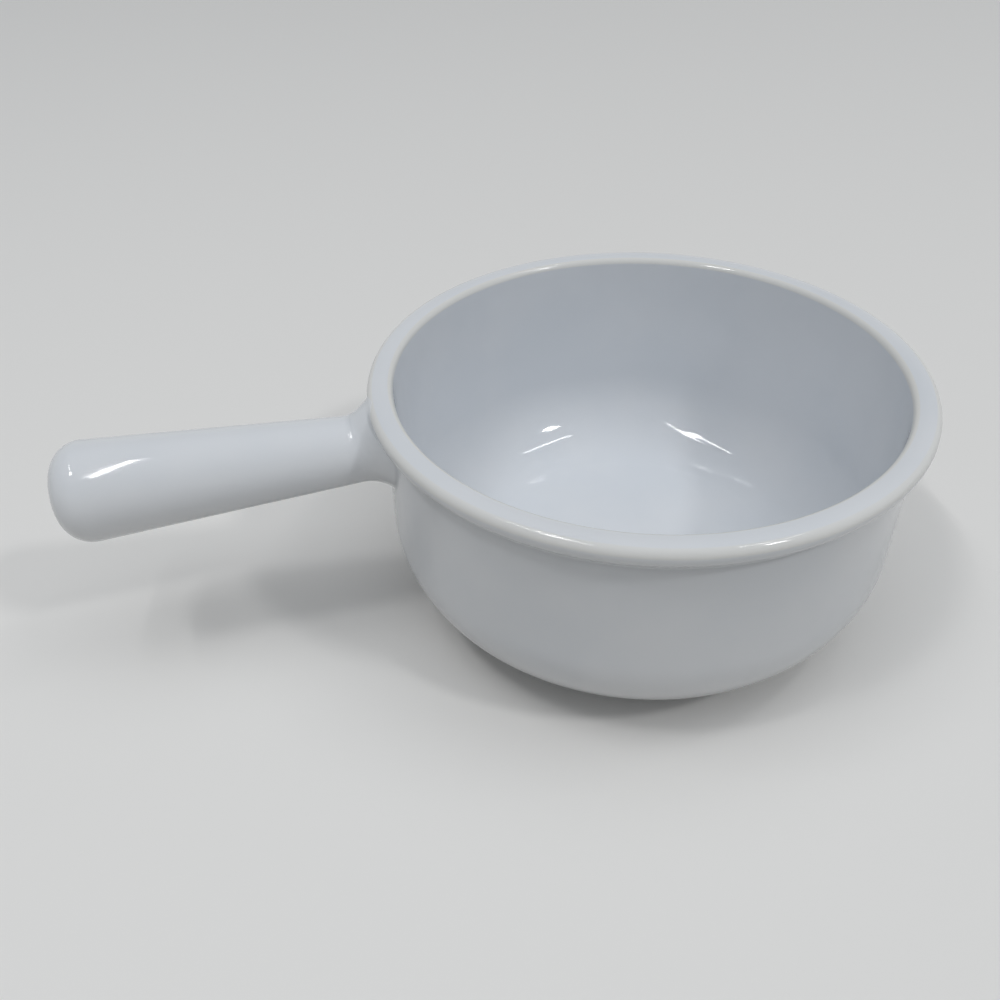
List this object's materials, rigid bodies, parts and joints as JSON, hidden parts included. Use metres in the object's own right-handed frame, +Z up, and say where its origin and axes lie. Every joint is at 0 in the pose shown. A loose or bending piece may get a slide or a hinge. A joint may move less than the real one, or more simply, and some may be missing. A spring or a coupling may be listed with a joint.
{
  "type": "soup bowl",
  "caption": "Round glazed stoneware soup bowl for one portion, with a rolled rim, a foot ring and a straight tapered stick handle luted to the wall under the rim.",
  "frame": {"origin": "on the bowl's axis, in the plane that the foot ring rests on", "axes": "+Z up along the bowl's axis, -X along the handle, away from the bowl"},
  "size_m": [0.2007, 0.13, 0.064],
  "materials": {
    "stoneware": "fired clay, bare on the foot ring",
    "slip": "fired slip",
    "white_glaze": "cool white gloss glaze"
  },
  "bodies": {
    "root": {"bowl_body": "stoneware", "stick_handle": "stoneware", "luting_slip": "slip", "liner_glaze": "white_glaze", "outer_glaze": "white_glaze", "handle_glaze": "white_glaze", "base_glaze": "white_glaze"}
  },
  "joints": []
}
